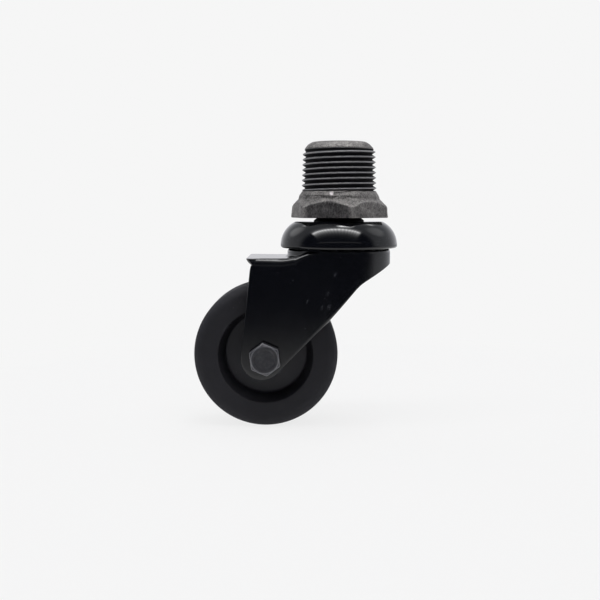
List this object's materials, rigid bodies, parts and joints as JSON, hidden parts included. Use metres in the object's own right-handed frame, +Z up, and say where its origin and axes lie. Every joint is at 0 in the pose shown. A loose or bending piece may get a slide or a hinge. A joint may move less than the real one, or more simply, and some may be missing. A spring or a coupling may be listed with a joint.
{
  "type": "pipe fitting castor",
  "caption": "Swivel castor on a cast pipe bush: male taper pipe thread, domed ball-race head, pressed steel fork and a moulded wheel on a bolted axle.",
  "frame": {"origin": "on the swivel axis, at the lower end of the male pipe thread where the bush's shoulder begins", "axes": "+Z up along the pipe thread, away from the wheel; the wheel trails towards -X; the axle lies along Y, with the bolt's head on the -Y side"},
  "size_m": [0.072, 0.045, 0.1],
  "materials": {
    "cast_bush": "as cast, thread cut",
    "stem_steel": "dark turned steel",
    "cap_paint": "gloss black",
    "fork_paint": "satin black",
    "race_steel": "bright turned steel",
    "ball_steel": "polished",
    "wheel_plastic": "moulded, matte",
    "bolt_black": "black oxide",
    "ring_nylon": "nylon"
  },
  "bodies": {
    "swivel_head": {"reducing_bush": "cast_bush", "king_stem": "stem_steel", "raceway_cap": "cap_paint", "lower_race": "race_steel"},
    "upper_ball_ring": {"upper_ball_1": "ball_steel", "upper_ball_2": "ball_steel", "upper_ball_3": "ball_steel", "upper_ball_4": "ball_steel", "upper_ball_5": "ball_steel", "upper_ball_6": "ball_steel", "upper_ball_7": "ball_steel", "upper_ball_8": "ball_steel", "upper_ball_9": "ball_steel", "upper_ball_10": "ball_steel", "upper_ball_11": "ball_steel", "upper_ball_12": "ball_steel", "upper_ball_13": "ball_steel", "upper_ball_14": "ball_steel", "upper_ball_15": "ball_steel", "upper_ball_16": "ball_steel", "upper_ball_17": "ball_steel", "upper_ball_18": "ball_steel"},
    "lower_ball_ring": {"lower_ball_1": "ball_steel", "lower_ball_2": "ball_steel", "lower_ball_3": "ball_steel", "lower_ball_4": "ball_steel", "lower_ball_5": "ball_steel", "lower_ball_6": "ball_steel", "lower_ball_7": "ball_steel", "lower_ball_8": "ball_steel", "lower_ball_9": "ball_steel", "lower_ball_10": "ball_steel", "lower_ball_11": "ball_steel", "lower_ball_12": "ball_steel"},
    "fork_assembly": {"fork": "fork_paint", "axle_sleeve": "race_steel", "axle_bolt": "bolt_black", "axle_nut": "bolt_black", "nut_ring": "ring_nylon"},
    "road_wheel": {"wheel": "wheel_plastic"}
  },
  "joints": [
    {"name": "fork_swivel", "type": "hinge", "parent": "swivel_head", "child": "fork_assembly", "pos_m": [0, 0, -0.016], "axis": [0, 0, 1], "continuous": true},
    {"name": "wheel_spin", "type": "hinge", "parent": "fork_assembly", "child": "road_wheel", "pos_m": [-0.0259, 0, -0.058], "axis": [0, 1, 0], "continuous": true},
    {"name": "upper_ball_roll", "type": "hinge", "parent": "swivel_head", "child": "upper_ball_ring", "pos_m": [0, 0, -0.016], "axis": [0, 0, 1], "continuous": true},
    {"name": "lower_ball_roll", "type": "hinge", "parent": "swivel_head", "child": "lower_ball_ring", "pos_m": [0, 0, -0.016], "axis": [0, 0, 1], "continuous": true}
  ],
  "couplings": [
    {"joint": "upper_ball_roll", "follows": "fork_swivel", "ratio": 0.5},
    {"joint": "lower_ball_roll", "follows": "fork_swivel", "ratio": 0.5}
  ]
}
